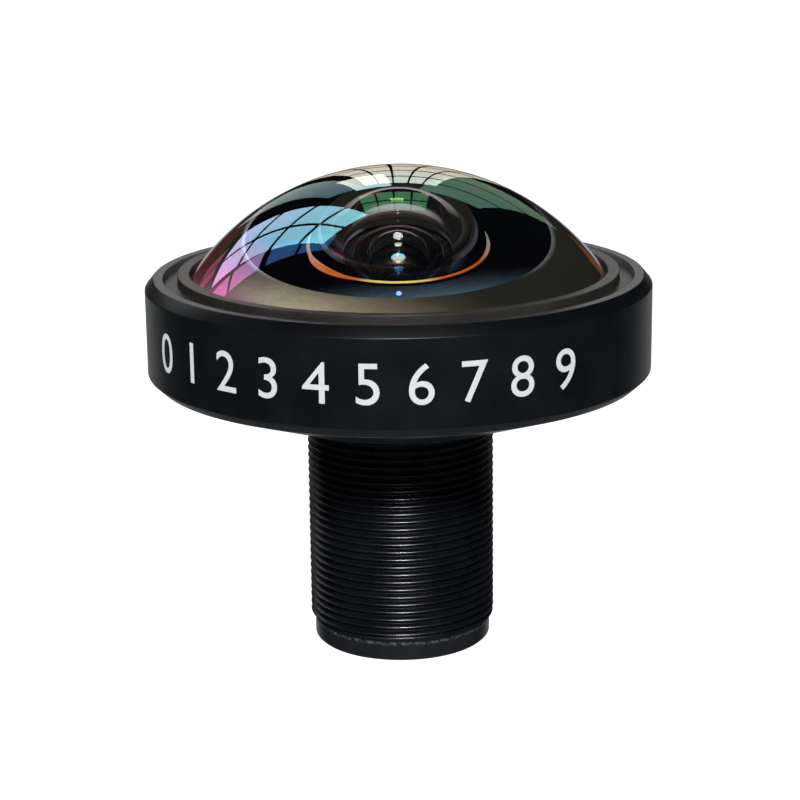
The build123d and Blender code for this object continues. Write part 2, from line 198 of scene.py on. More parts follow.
def anodised_metal(
    name, colour, roughness, turning, dust, glint=0.5, worn_edge=NOWHERE, groove=NOWHERE
):
    """Dyed anodised aluminium with the fine rings that the cutting tool leaves.

    worn_edge is the height of an edge whose dye is rubbed off in flecks, and the
    metal below it is made a little paler. groove is the radius of a wall made paler,
    partly by packed dust and partly as painted fill light on its shaded face.
    """
    f = Finish(bpy.data.materials.new(name))
    at = f.place()
    x, y, z = f.parts(at)
    radius = f.from_axis(x, y)
    grain = f.noise(at, 9.0, 4.0, 0.6)
    cloud = f.noise(at, 0.35, 3.0, 0.55)
    rings = f.noise(f.along(radius * 22.0, z * 22.0, f.noise(at, 0.5, 1.0) * 3.0), 1.0, 3.0, 0.7)
    cell = f.node("ShaderNodeTexVoronoi", {}, {"Vector": at, "Scale": 1.7})
    speck = f.span(cell + f.noise(at, 30.0) * 0.03, 0.05, 0.035)
    speck = speck * f.span(f.noise(at, 0.8), 0.48, 0.62)
    lint = f.span(f.noise(at, 30.0, 5.0, 0.72), 0.7, 0.78) * f.span(z, 4.0, 1.0, 0.35, 1.0)
    flecks = f.span(f.noise(at, 5.0, 5.0, 0.75), 0.45, 0.7)
    rubbed = f.span((z - worn_edge) ** 2.0, 0.02, 0.0) * flecks
    # Dust packed against the groove's wall, which also stands in as painted fill light on that
    # shaded wall.
    groove_dust_and_painted_fill = f.span((radius - groove) ** 2.0, 0.01, 0.0) * f.span(cloud, 0.2, 0.8, 0.5, 1.0)
    dust_wear_and_painted_fill = (speck * 0.8 + lint * 0.6) * dust + rubbed * 0.3 + groove_dust_and_painted_fill
    # Below the worn edge the metal is made a little paler.
    paler_below_edge = f.span(z, worn_edge, worn_edge - 0.1, 0.0, 0.016)
    faded = tuple(c * 1.7 + 0.001 for c in colour)
    base = f.blend(f.span(cloud, 0.35, 0.75), colour, faded)
    wear = grain + rings * 0.6 + cloud * 0.5
    dull = f.span(wear, 0.6, 1.5, roughness - 0.06, roughness + 0.08) + dust_wear_and_painted_fill * 0.2
    shader = f.node(
        "ShaderNodeBsdfPrincipled",
        {},
        {
            "Base Color": f.blend(dust_wear_and_painted_fill + paler_below_edge, base, DUST_AND_PAINTED_FILL_GREY),
            "Roughness": dull,
            "Specular IOR Level": glint,
            "Normal": f.bump(grain * 0.35 + rings * turning, 0.25, 0.012),
        },
    )
    return f.surface(shader)


def rounded(section, size, steps=4):
    """A closed section of (radius, height) corners, each corner broken by a small round."""
    out = []
    for i, corner in enumerate(section):
        before = Vector(section[i - 1])
        here = Vector(corner)
        after = Vector(section[(i + 1) % len(section)])
        into = before - here
        away = after - here
        reach = min(size, 0.45 * into.length, 0.45 * away.length)
        first = here + into.normalized() * reach
        last = here + away.normalized() * reach
        for k in range(steps + 1):
            t = k / steps
            out.append(tuple(first * (1 - t) ** 2 + here * 2 * t * (1 - t) + last * t**2))
    return out


def ring_of_points(mesh, radius, height, segments):
    """A level ring of points about the axis."""
    turn = [2 * pi * k / segments for k in range(segments)]
    return [mesh.verts.new((radius * MM * cos(a), radius * MM * sin(a), height * MM)) for a in turn]


def lathe(mesh, section, segments, closed=True):
    """Turns a section of (radius, height) points in millimetres about the axis."""
    rings = []
    for radius, height in section:
        if radius > 0:
            rings.append(ring_of_points(mesh, radius, height, segments))
        else:
            rings.append([mesh.verts.new((0, 0, height * MM))])
    pairs = list(zip(rings, rings[1:]))
    if closed:
        pairs.append((rings[-1], rings[0]))
    for low, high in pairs:
        for k in range(segments):
            after = (k + 1) % segments
            if len(low) == 1:
                mesh.faces.new((low[0], high[k], high[after]))
            elif len(high) == 1:
                mesh.faces.new((low[k], high[0], low[after]))
            else:
                mesh.faces.new((low[k], high[k], high[after], low[after]))


def finished(name, mesh, *materials, sharp=28.0):
    """The mesh as a smooth piece with sharp corners, in these materials."""
    bmesh.ops.recalc_face_normals(mesh, faces=mesh.faces)
    data = bpy.data.meshes.new(name)
    mesh.to_mesh(data)
    mesh.free()
    data.polygons.foreach_set("use_smooth", [True] * len(data.polygons))
    data.set_sharp_from_angle(angle=radians(sharp))
    for material in materials:
        data.materials.append(material)
    piece = bpy.data.objects.new(name, data)
    bpy.context.collection.objects.link(piece)
    return piece


def cut_thread(mesh, segments):
    """The helical skin of the thread, from its start to its end."""
    depth = BARREL_RADIUS - THREAD_ROOT
    turns = int((THREAD_END - THREAD_START) / THREAD_PITCH) + 2
    columns = []
    for k in range(segments):
        angle = 2 * pi * k / segments
        column = []
        for n in range(-1, turns):
            for offset_share, depth_share in THREAD_SHARES:
                height = THREAD_START + (n + k / segments + 0.5 + offset_share) * THREAD_PITCH
                run_in = min(1.0, max(0.0, (height - THREAD_START) / THREAD_RUN_IN))
                if not THREAD_START < height < THREAD_END:
                    height = min(max(height, THREAD_START), THREAD_END)
                    run_in = 0.0
                radius = THREAD_ROOT + depth * depth_share * run_in
                x = radius * MM * cos(angle)
                y = radius * MM * sin(angle)
                column.append(mesh.verts.new((x, y, height * MM)))
        columns.append(column)
    for k, here in enumerate(columns):
        there = columns[(k + 1) % segments]
        climb = len(THREAD_SHARES) if k == segments - 1 else 0
        for i in range(len(here) - 1 - climb):
            mesh.faces.new((here[i], there[i + climb], there[i + climb + 1], here[i + 1]))


REAR_THREAD = extent("rear_retaining_ring")[0] + THREAD_FIT
REAR_BORE = extent("rear_lens")[0] + FIT
NOSE_THREAD = extent("third_lens_retainer")[0] + THREAD_FIT
NOSE_BORE = extent("third_lens")[0] + FIT
LEDGE_HOLE = 2.58
LEDGE_BOTTOM = extent("aperture_stop")[2]
LEDGE_TOP = extent("fourth_shade_washer")[1]
barrel_section = [
    (THREAD_ROOT, THREAD_END),
    (BARREL_RADIUS, THREAD_END + NOSE_CHAMFER),
    (BARREL_RADIUS, BARREL_TOP - NOSE_CHAMFER),
    (BARREL_RADIUS - NOSE_CHAMFER, BARREL_TOP),
    (NOSE_THREAD, BARREL_TOP),
    (NOSE_THREAD, extent("third_lens")[2] - THREAD_RELIEF),
    (NOSE_BORE, extent("third_lens")[2] - THREAD_RELIEF),
    (NOSE_BORE, LEDGE_TOP),
    (LEDGE_HOLE, LEDGE_TOP),
    (LEDGE_HOLE, LEDGE_BOTTOM),
    (REAR_BORE, LEDGE_BOTTOM),
    (REAR_BORE, extent("rear_lens")[1] + THREAD_RELIEF),
    (REAR_THREAD, extent("rear_lens")[1] + THREAD_RELIEF),
    (REAR_THREAD, BARREL_BOTTOM),
    (COLLAR_RADIUS - COLLAR_CHAMFER, BARREL_BOTTOM),
    (COLLAR_RADIUS, COLLAR_CHAMFER),
    (COLLAR_RADIUS, THREAD_START),
    (THREAD_ROOT, THREAD_START),
]
BARREL_SEGMENTS = 168
BARREL_ROUND = 0.04
ROUND_STEPS = 4
SEAM = 0.0004
barrel_mesh = bmesh.new()
cut_thread(barrel_mesh, BARREL_SEGMENTS)
# The first and last corner stay sharp, because the thread's skin is welded on there.
ends = ROUND_STEPS + 1
barrel_outline = rounded(barrel_section, BARREL_ROUND, ROUND_STEPS)[ends:-ends]
barrel_outline = [barrel_section[0]] + barrel_outline + [barrel_section[-1]]
lathe(barrel_mesh, barrel_outline, BARREL_SEGMENTS, closed=False)
bmesh.ops.remove_doubles(barrel_mesh, verts=barrel_mesh.verts, dist=SEAM * MM)
barrel_finish = anodised_metal(
    "black_anodised_thread", THREAD_DYE, roughness=0.28, turning=0.4, dust=0.8, worn_edge=WORN_LEVEL
)
barrel = finished("barrel_with_thread", barrel_mesh, barrel_finish, sharp=35.0)
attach(barrel, "root")
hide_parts("threaded_barrel")


# Rings, spacers and stop inside the barrel. Thin rings turned from aluminium,
# dyed dull black so that no stray light comes off their edges.
DULL_DYE = (0.004, 0.004, 0.0042)
DULL_RINGS = (
    "aperture_stop",
    "stop_spacer_ring",
    "seventh_spacer_ring",
    "rear_spacer_ring",
    "rear_retaining_ring",
    "third_spacer_ring",
    "third_lens_retainer",
    "second_lens_retainer",
)


def finish_nodes(names, material):
    """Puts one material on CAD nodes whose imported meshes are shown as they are."""
    for name in names:
        node[name].data.materials.clear()
        node[name].data.materials.append(material)


dull_finish = anodised_metal(
    "dull_black_anodising", DULL_DYE, roughness=0.55, turning=0.7, dust=0.1, glint=0.2
)
finish_nodes(DULL_RINGS, dull_finish)


# Shade washers and seal. The washers are punched from black film, the seal is a
# cord of soft black rubber in a groove under the front glass.
def soft_black(name, colour, roughness):
    """A matt black with a fine grain in its colour, gloss and surface."""
    f = Finish(bpy.data.materials.new(name))
    grain = f.noise(f.place(), 24.0, 4.0, 0.65)
    shader = f.node(
        "ShaderNodeBsdfPrincipled",
        {},
        {
            "Base Color": f.blend(grain, colour, tuple(c * 1.6 for c in colour)),
            "Roughness": f.span(grain, 0.3, 0.7, roughness - 0.08, roughness + 0.08),
            "Specular IOR Level": 0.2,
            "Normal": f.bump(grain, 0.3, 0.01),
        },
    )
    return f.surface(shader)


FILM_BLACK = (0.005, 0.005, 0.005)
RUBBER_BLACK = (0.008, 0.008, 0.009)
WASHERS = ("front_shade_washer", "second_shade_washer", "fourth_shade_washer")
finish_nodes(WASHERS, soft_black("matt_black_film", FILM_BLACK, roughness=0.62))
finish_nodes(["front_seal"], soft_black("black_rubber", RUBBER_BLACK, roughness=0.7))


# Inner elements and filter. Ground and polished optical glass, coated on each
# face against reflections, which leaves a faint colour where light comes back.
WHITE = (1.0, 1.0, 1.0)


def coating(f, at, index, film, film_index, tint=WHITE):
    """A polished glass face under a thin coating, film nanometres thick."""
    smear = f.noise(at, 0.45, 3.0)
    return f.node(
        "ShaderNodeBsdfPrincipled",
        {},
        {
            "Base Color": tint,
            "Roughness": f.span(smear, 0.45, 0.8, 0.0, 0.012),
            "IOR": index,
            "Transmission Weight": 1.0,
            "Thin Film Thickness": film,
            "Thin Film IOR": film_index,
        },
    )


LAMPLIGHT_PASSED = (0.93, 0.93, 0.93)


def clear_to_lamps(f, shader):
    """Lets the lamps' light through the glass, on to the pieces behind it."""
    clear = f.node("ShaderNodeBsdfTransparent", {}, {"Color": LAMPLIGHT_PASSED})
    lamp_ray = f.node("ShaderNodeLightPath", {}, {}, "Is Shadow Ray")
    return f.surface(f.node("ShaderNodeMixShader", {}, {0: lamp_ray, 1: shader, 2: clear}))


def coated_glass(name, index, film, film_index, tint=WHITE):
    """A glass of one refractive index with the same coating on every face."""
    f = Finish(bpy.data.materials.new(name))
    return clear_to_lamps(f, coating(f, f.place(), index, film, film_index, tint))


DENSE_GLASS = 1.62
FILTER_GLASS = 1.52
SOFT_COAT = 1.38
HARD_COAT = 2.0
AMBER_COAT_DEPTH = 72.0
CUT_COAT_DEPTH = 285.0
AMBER = (1.0, 0.93, 0.86)
PALE_CYAN = (0.8, 0.95, 1.0)
INNER_LENSES = (
    "third_lens",
    "fourth_lens",
    "fifth_lens",
    "sixth_lens",
    "seventh_lens",
    "rear_lens",
)
finish_nodes(
    INNER_LENSES,
    coated_glass("inner_glass_amber_coating", DENSE_GLASS, AMBER_COAT_DEPTH, SOFT_COAT, AMBER),
)
finish_nodes(
    ["infrared_filter"],
    coated_glass("filter_glass_red_coating", FILTER_GLASS, CUT_COAT_DEPTH, HARD_COAT, PALE_CYAN),
)


# Second lens. A small steep dome of polished glass that stands up into the
# hollow of the front lens, with its own deep hollow behind. A threaded ring
# holds it down on its seat.
def cap(vertex, aperture, depth, steps):
    """Points of a spherical face from its vertex on the axis out to its aperture."""
    radius = (aperture**2 + depth**2) / (2 * depth)
    widest = asin(min(1.0, aperture / radius))
    turns = [widest * k / steps for k in range(steps + 1)]
    return [(radius * sin(a), vertex - radius * (1 - cos(a))) for a in turns]


SECOND_RIM, SECOND_BOTTOM, SECOND_APEX = extent("second_lens")
SECOND_DOME = 2.3
SECOND_HOLLOW_APERTURE = 2.6
SECOND_HOLLOW = 2.1
GREEN_COAT_DEPTH = 120.0
SECOND_SEGMENTS = 192
second_mesh = bmesh.new()
second_section = cap(SECOND_APEX, SECOND_RIM, SECOND_DOME, steps=40)
second_section.append((SECOND_RIM, SECOND_BOTTOM))
hollow_vertex = SECOND_BOTTOM + SECOND_HOLLOW
second_section += cap(hollow_vertex, SECOND_HOLLOW_APERTURE, SECOND_HOLLOW, steps=30)[::-1]
lathe(second_mesh, second_section, SECOND_SEGMENTS, closed=False)
second_glass = coated_glass("second_glass_green_coating", DENSE_GLASS, GREEN_COAT_DEPTH, SOFT_COAT)
second_lens = finished("second_lens_glass", second_mesh, second_glass)
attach(second_lens, "root")
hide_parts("second_lens")


# Front housing. The wide head, turned from aluminium bar and anodised black.
# Its edges are broken by the tool, so they catch the light as thin lines.
HEAD_RADIUS, HUB_BOTTOM, RIM_TOP = extent("front_housing")
INK_ROOM = 0.013
HEAD_WALL = HEAD_RADIUS - INK_ROOM
HEAD_DYE = (0.0035, 0.005, 0.0066)
UPPER_CHAMFER = 0.64
WALL_HEIGHT = 5.35
LOWER_CHAMFER = 0.6
WALL_TOP = RIM_TOP - UPPER_CHAMFER
WALL_BOTTOM = WALL_TOP - WALL_HEIGHT
CONE_TOP = WALL_BOTTOM - LOWER_CHAMFER
CONE_RADIUS = 15.4
HUB_RADIUS = 7.8
HUB_BORE = 6.05
HUB_CHAMFER = 0.05
RIM_RADIUS = 15.5
GLASS_RIM, LAND_BOTTOM, GLASS_APEX = extent("front_lens")
GLASS_BORE = 13.6
FENCE_RADIUS = 13.9
FRONT_SEAT, GLASS_BACK = extent("front_shade_washer")[1:]
CHANNEL_DEPTH = 0.65
FENCE_HEIGHT = 0.45
CHANNEL_FLOOR = FRONT_SEAT - CHANNEL_DEPTH
FENCE_TOP = FRONT_SEAT + FENCE_HEIGHT
RING_BORE = extent("front_retaining_ring")[0] + THREAD_FIT
RETAINER_BORE = extent("second_lens_retainer")[0] + THREAD_FIT
RETAINER_TOP = extent("second_lens_retainer")[2]
LAND_BORE = 7.4
SECOND_EDGE_TOP = 21.7
SECOND_BORE = SECOND_RIM + FIT
WEB_TOP = extent("second_shade_washer")[1]
WEB_HOLE = 2.85
RIM_SEGMENTS = 320
TOOL_ROUND = 0.06


def turned(name, section, segments, material):
    """A piece off the lathe, with every edge broken by the tool."""
    mesh = bmesh.new()
    lathe(mesh, rounded(section, TOOL_ROUND), segments)
    return finished(name, mesh, material)


head_finish = anodised_metal(
    "black_anodised_head", HEAD_DYE, roughness=0.34, turning=1.0, dust=0.45, groove=RING_BORE
)
head_section = [
    (HUB_BORE + HUB_CHAMFER, HUB_BOTTOM),
    (HUB_RADIUS - HUB_CHAMFER, HUB_BOTTOM),
    (HUB_RADIUS, HUB_BOTTOM + HUB_CHAMFER),
    (CONE_RADIUS, CONE_TOP),
    (HEAD_WALL, WALL_BOTTOM),
    (HEAD_WALL, WALL_TOP),
    (RIM_RADIUS, RIM_TOP),
    (RING_BORE, RIM_TOP),
    (RING_BORE, CHANNEL_FLOOR),
    (FENCE_RADIUS, CHANNEL_FLOOR),
    (FENCE_RADIUS, FENCE_TOP),
    (GLASS_BORE, FENCE_TOP),
    (GLASS_BORE, FRONT_SEAT),
    (LAND_BORE, FRONT_SEAT),
    (LAND_BORE, RETAINER_TOP),
    (RETAINER_BORE, RETAINER_TOP),
    (RETAINER_BORE, SECOND_EDGE_TOP),
    (SECOND_BORE, SECOND_EDGE_TOP),
    (SECOND_BORE, WEB_TOP),
    (WEB_HOLE, WEB_TOP),
    (WEB_HOLE, BARREL_TOP),
    (HUB_BORE, BARREL_TOP),
    (HUB_BORE, HUB_BOTTOM + HUB_CHAMFER),
]
head = turned("front_housing_head", head_section, RIM_SEGMENTS, head_finish)
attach(head, "root")
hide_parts("front_housing")


# Front lens. The big meniscus of coated glass that stands out of the head. Its
# back is ground flat and painted black up to a narrow margin round the hollow,
# which is left bare.
GLASS_DOME = 7.33
GLASS_EDGE_TOP = GLASS_APEX - GLASS_DOME
GLASS_BEVEL = 0.12
LAND_RADIUS = 7.3
HOLLOW_APERTURE = 3.9842
HOLLOW_APEX = 26.35
HOLLOW_BEVEL = 0.08
HOLLOW_START = LAND_BOTTOM + HOLLOW_BEVEL * 1.2
HOLLOW_MARGIN = 0.45
PAINT_THICKNESS = 0.01
DOME_GLASS = 1.6
BLUE_COAT_DEPTH = 190.0
VIOLET_COAT_DEPTH = 232.0
VIOLET_COAT = 2.4
HOLLOW_COAT_DEPTH = 95.0
HOLLOW_COAT = 1.7
PAINT_BLACK = (0.03, 0.029, 0.024)
# Painted light under the glass: a cream and rose glow painted on the seat.
PAINTED_GLOW_CREAM = (0.8, 0.63, 0.56)
PAINTED_GLOW_ROSE = (0.6, 0.24, 0.38)
# A painted grey highlight on the step at the land's edge.
PAINTED_STEP_HIGHLIGHT = (0.5, 0.56, 0.68)
LACQUER_BLACK = (0.0008, 0.001, 0.0014)
# A painted blue reflection on the land.
PAINTED_REFLECTION_BLUE = (0.17, 0.25, 0.42)
# Painted split light round the hollow; the grey is partly the ground glass's own colour and partly a
# painted highlight.
PAINTED_SPLIT_YELLOW = (1.0, 0.85, 0.2)
PAINTED_SPLIT_ORANGE = (0.8, 0.16, 0.015)
GROUND_GREY_AND_PAINTED_HIGHLIGHT = (0.75, 0.68, 0.55)
PAINTED_REFLECTION_PINK = (0.85, 0.5, 0.42)
FRONT_SEGMENTS = 256


def front_glass():
    """Hard coating that changes towards the rim, where its colour turns from blue to violet."""
    f = Finish(bpy.data.materials.new("front_glass_coating"))
    at = f.place()
    x, y, _ = f.parts(at)
    radius = f.from_axis(x, y)
    crown = coating(f, at, DOME_GLASS, BLUE_COAT_DEPTH, HARD_COAT)
    rim = coating(f, at, DOME_GLASS, VIOLET_COAT_DEPTH, VIOLET_COAT)
    share = f.span(radius + f.noise(at, 0.3) * 0.8, 10.4, 13.2)
    return clear_to_lamps(f, f.node("ShaderNodeMixShader", {}, {0: share, 1: crown, 2: rim}))


def hollow_coating():
    """The weaker coating of the hollow, which mirrors the room much less than the dome."""
    f = Finish(bpy.data.materials.new("front_glass_hollow_coating"))
    return clear_to_lamps(f, coating(f, f.place(), DOME_GLASS, HOLLOW_COAT_DEPTH, HOLLOW_COAT))


def seat_paint_and_painted_glow():
    """Black paint brushed on the ground seat by hand, with a painted cream and rose glow on its
    front left and a painted grey highlight along the step's sides.
    """
    f = Finish(bpy.data.materials.new("black_paint_on_seat_with_painted_glow"))
    at = f.place()
    x, y, _ = f.parts(at)
    grain = f.noise(at, 3.0, 5.0, 0.65)
    glow_noise = f.noise(at, 0.6, 3.0)
    radius = f.from_axis(x, y)
    # Share of the painted cream and rose glow, strongest on the seat's front left.
    painted_light = f.span(x * -0.75 - y * 0.66 + glow_noise * 1.5, 0.0, 10.5) ** 3.0
    painted_light = painted_light * f.span(y + glow_noise, 1.0, -5.0)
    # Colour of the painted glow: rose further to the left, cream elsewhere.
    glow_colour = f.blend(f.span(x + glow_noise * 2.0, -5.0, -8.5), PAINTED_GLOW_CREAM, PAINTED_GLOW_ROSE)
    base = f.blend(painted_light * f.span(grain, 0.2, 0.6, 0.75, 1.0), PAINT_BLACK, glow_colour)
    # A painted grey highlight along the step: strong on the left, weaker on the right, none in
    # front.
    step_highlight = f.span(radius, LAND_RADIUS + 0.3, LAND_RADIUS + 0.05)
    lit_sides = f.span(x, -4.5, -6.8) + f.span(x, 5.5, 7.0) * 0.35
    base = f.blend(step_highlight * lit_sides * f.span(y, -4.5, -2.0), base, PAINTED_STEP_HIGHLIGHT)
    shader = f.node(
        "ShaderNodeBsdfPrincipled",
        {},
        {
            "Base Color": base,
            "Roughness": f.span(grain, 0.3, 0.7, 0.5, 0.7),
            "Specular IOR Level": 0.0,
            "Normal": f.bump(grain, 0.3, 0.02),
        },
    )
    return f.surface(shader)


def land_lacquer_and_painted_reflection():
    """Smooth black lacquer round the hollow, with a painted blue reflection towards its front."""
    f = Finish(bpy.data.materials.new("black_lacquer_on_land_with_painted_reflection"))
    at = f.place()
    x, y, _ = f.parts(at)
    grain = f.noise(at, 2.0, 4.0, 0.6)
    # Share of the painted blue reflection, strongest towards the front of the land.
    painted_light = f.span(x * 0.25 - y * 0.97 + grain * 0.5, 3.0, 7.2) ** 2.0
    painted_light = painted_light * f.span(grain, 0.3, 0.6, 0.85, 1.0)
    shader = f.node(
        "ShaderNodeBsdfPrincipled",
        {},
        {
            "Base Color": f.blend(painted_light, LACQUER_BLACK, PAINTED_REFLECTION_BLUE),
            "Roughness": f.span(grain, 0.3, 0.7, 0.5, 0.7),
            "Specular IOR Level": 0.0,
        },
    )
    return f.surface(shader)


def ground_margin_in_painted_light():
    """The narrow ring round the hollow that stays bare of paint, coloured with painted split light
    and a painted highlight.
    """
    f = Finish(bpy.data.materials.new("bare_margin_in_painted_split_light"))
    at = f.place()
    x, y, _ = f.parts(at)
    grain = f.noise(at, 14.0, 4.0, 0.6)
    radius = f.from_axis(x, y)
    # The bare ring is painted wider towards the left front, as a painted highlight.
    width = f.span(x * -0.83 - y * 0.56 + grain * 0.2, 3.75, 4.4, 0.07, 0.26)
    # Painted split light: yellow at the very front, orange at the sides, grey behind (partly own
    # colour, partly painted highlight), and a painted pink reflection on the left.
    base = f.blend(f.span(y + grain * 0.4, -3.7, -3.3), PAINTED_SPLIT_YELLOW, PAINTED_SPLIT_ORANGE)
    base = f.blend(f.span(y + grain, -0.9, 0.9), base, GROUND_GREY_AND_PAINTED_HIGHLIGHT)
    base = f.blend(f.span(x + grain, -2.8, -3.9) * 0.8, base, PAINTED_REFLECTION_PINK)
    bare = f.span(radius - HOLLOW_APERTURE - width, 0.06, 0.0)
    shader = f.node(
        "ShaderNodeBsdfPrincipled",
        {},
        {
            "Base Color": f.blend(bare, LACQUER_BLACK, base),
            "Roughness": f.span(grain, 0.3, 0.7, 0.4, 0.6),
            "Specular IOR Level": 0.0,
            "Normal": f.bump(grain, 0.2, 0.01),
        },
    )
    return f.surface(shader)


front_mesh = bmesh.new()
front_section = cap(GLASS_APEX, GLASS_RIM, GLASS_DOME, steps=90) + [
    (GLASS_RIM, GLASS_BACK + GLASS_BEVEL),
    (GLASS_RIM - GLASS_BEVEL, GLASS_BACK + PAINT_THICKNESS),
    (LAND_RADIUS, GLASS_BACK + PAINT_THICKNESS),
    (LAND_RADIUS, LAND_BOTTOM),
    (HOLLOW_APERTURE + HOLLOW_MARGIN, LAND_BOTTOM),
    (HOLLOW_APERTURE + HOLLOW_BEVEL, LAND_BOTTOM),
    (HOLLOW_APERTURE, LAND_BOTTOM + HOLLOW_BEVEL),
]
hollow = cap(HOLLOW_APEX, HOLLOW_APERTURE, HOLLOW_APEX - LAND_BOTTOM, steps=60)[::-1]
front_section += [point for point in hollow if point[1] > HOLLOW_START]
lathe(front_mesh, front_section, FRONT_SEGMENTS, closed=False)
DOME, SEAT, LAND, MARGIN, HOLLOW = range(5)
front_lens = finished(
    "front_lens_glass",
    front_mesh,
    front_glass(),
    seat_paint_and_painted_glow(),
    land_lacquer_and_painted_reflection(),
    ground_margin_in_painted_light(),
    hollow_coating(),
)
for face in front_lens.data.polygons:
    x, y, z = face.center / MM
    out = sqrt(x**2 + y**2)
    margin_edge = HOLLOW_APERTURE + HOLLOW_MARGIN
    if out < HOLLOW_APERTURE and z < HOLLOW_APEX + FIT:
        face.material_index = HOLLOW
    elif HOLLOW_APERTURE < out < margin_edge and z < LAND_BOTTOM + HOLLOW_BEVEL:
        face.material_index = MARGIN
    elif margin_edge < out < LAND_RADIUS - FIT and z < LAND_BOTTOM + FIT:
        face.material_index = LAND
    elif out > LAND_RADIUS - FIT and z < GLASS_EDGE_TOP:
        face.material_index = SEAT
    else:
        face.material_index = DOME
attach(front_lens, "root")
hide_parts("front_lens")


# Front retaining ring. A thin ring turned from aluminium and anodised, screwed
# down inside the head's rim. Its raised lip bears on the dome and hides the
# edge of the glass.
RING_RADIUS, RING_BOTTOM, LIP_TOP = extent("front_retaining_ring")
LIP_RADIUS = 13.24
LIP_WIDTH = 0.73
LIP_HEIGHT = 0.5
RING_SINK = 0.44
SHOULDER_GAP = 0.1
FENCE_GAP = 0.05
RING_TOP = RIM_TOP - RING_SINK
RING_SHOULDER = FENCE_TOP + SHOULDER_GAP
RING_SKIRT = FENCE_RADIUS + FENCE_GAP
RING_DYE = (0.05, 0.047, 0.042)
ring_section = [
    (LIP_RADIUS, LIP_TOP - LIP_HEIGHT),
    (LIP_RADIUS, LIP_TOP),
    (LIP_RADIUS + LIP_WIDTH, LIP_TOP),
    (LIP_RADIUS + LIP_WIDTH, RING_TOP),
    (RING_RADIUS, RING_TOP),
    (RING_RADIUS, RING_BOTTOM),
    (RING_SKIRT, RING_BOTTOM),
    (RING_SKIRT, RING_SHOULDER),
    (GLASS_BORE, RING_SHOULDER),
    (GLASS_BORE, LIP_TOP - LIP_HEIGHT),
]
ring_finish = anodised_metal(
    "grey_black_anodised_ring", RING_DYE, roughness=0.42, turning=1.0, dust=0.3
)
front_ring = turned("front_retaining_ring_turned", ring_section, RIM_SEGMENTS, ring_finish)
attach(front_ring, "root")
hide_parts("front_retaining_ring")


# Numerals. A plain row of figures, printed in white ink round the head's wall
# and baked hard. The ink stands a hundredth of a millimetre proud of the wall.
INK_HEIGHT = 2.45
INK_THICKNESS = 0.009
FIRST_FIGURE = -61.0
FIGURE_STEP = 10.9
# These are in units of the text's own size, before it is scaled.
STRIP = 0.06
SAME_POINT = 0.0001
STRIPS_EACH_SIDE = 8
CURVE_STEPS = 6
INK_WHITE = (0.78, 0.8, 0.82)
INK_GREY = (0.6, 0.62, 0.64)


def ink():
    """White printing ink, a little uneven in colour and gloss."""
    f = Finish(bpy.data.materials.new("white_printing_ink"))
    grain = f.noise(f.place(), 12.0, 5.0, 0.7)
    shader = f.node(
        "ShaderNodeBsdfPrincipled",
        {},
        {
            "Base Color": f.blend(f.span(grain, 0.35, 0.75), INK_WHITE, INK_GREY),
            "Roughness": f.span(grain, 0.3, 0.7, 0.5, 0.65),
            "Normal": f.bump(grain, 0.3, 0.01),
        },
    )
    return f.surface(shader)


def figure_plate(figure):
    """The flat outline of one figure, cut into strips so that it can be bent."""
    words = bpy.data.curves.new(f"figure_{figure}", "FONT")
    words.body = figure
    words.align_x = "CENTER"
    words.resolution_u = CURVE_STEPS
    holder = bpy.data.objects.new(words.name, words)
    bpy.context.collection.objects.link(holder)
    bpy.context.view_layer.update()
    flat = bpy.data.meshes.new_from_object(holder)
    bpy.data.objects.remove(holder)
    bpy.data.curves.remove(words)
    mesh = bmesh.new()
    mesh.from_mesh(flat)
    bpy.data.meshes.remove(flat)
    bmesh.ops.remove_doubles(mesh, verts=mesh.verts, dist=SAME_POINT)
    for cut in range(-STRIPS_EACH_SIDE, STRIPS_EACH_SIDE + 1):
        whole = mesh.verts[:] + mesh.edges[:] + mesh.faces[:]
        bmesh.ops.bisect_plane(mesh, geom=whole, plane_co=(cut * STRIP, 0, 0), plane_no=(1, 0, 0))
    return mesh


def printed_figure(figure, azimuth, finish):
    """One figure, bent round the wall at azimuth degrees from the front."""
    mesh = figure_plate(figure)
    low = min(v.co.y for v in mesh.verts)
    scale = INK_HEIGHT / (max(v.co.y for v in mesh.verts) - low)
    front = bmesh.ops.extrude_face_region(mesh, geom=mesh.faces[:])["geom"]
    raised = {item for item in front if isinstance(item, bmesh.types.BMVert)}
    for v in mesh.verts:
        turn = radians(azimuth) + v.co.x * scale / HEAD_RADIUS
        height = (WALL_BOTTOM + WALL_TOP - INK_HEIGHT) / 2 + (v.co.y - low) * scale
        radius = HEAD_WALL + (INK_THICKNESS if v in raised else -INK_THICKNESS / 2)
        v.co = Vector((radius * sin(turn), -radius * cos(turn), height)) * MM
    return finished(f"numeral_{figure}", mesh, finish)


ink_finish = ink()
for place, figure in enumerate("0123456789"):
    numeral = printed_figure(figure, FIRST_FIGURE + place * FIGURE_STEP, ink_finish)
    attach(numeral, "root")


# Table and light. A plain pale table, a soft lamp in front, and weak fills for
# the metal. A paned window, panels and cards hang behind, seen in the glass only.
TABLE_RADIUS = 3000.0
TABLE_WHITE = (0.93, 0.93, 0.93)
TABLE_BRIGHT = (0.96, 0.96, 0.96)
ROOM_WHITE = (0.95, 0.97, 1.0)
LEAST_GLOW = 0.008
AIM_HEIGHT = 22.0


def table_finish():
    """A white table top, bright enough to run into the background."""
    f = Finish(bpy.data.materials.new("pale_table"))
    grain = f.noise(f.place(), 0.02, 4.0, 0.6)
    shader = f.node(
        "ShaderNodeBsdfPrincipled",
        {},
        {
            "Base Color": f.blend(grain, TABLE_WHITE, TABLE_BRIGHT),
            "Roughness": 0.7,
            "Emission Color": WHITE,
            "Emission Strength": 1.05,
        },
    )
    return f.surface(shader)


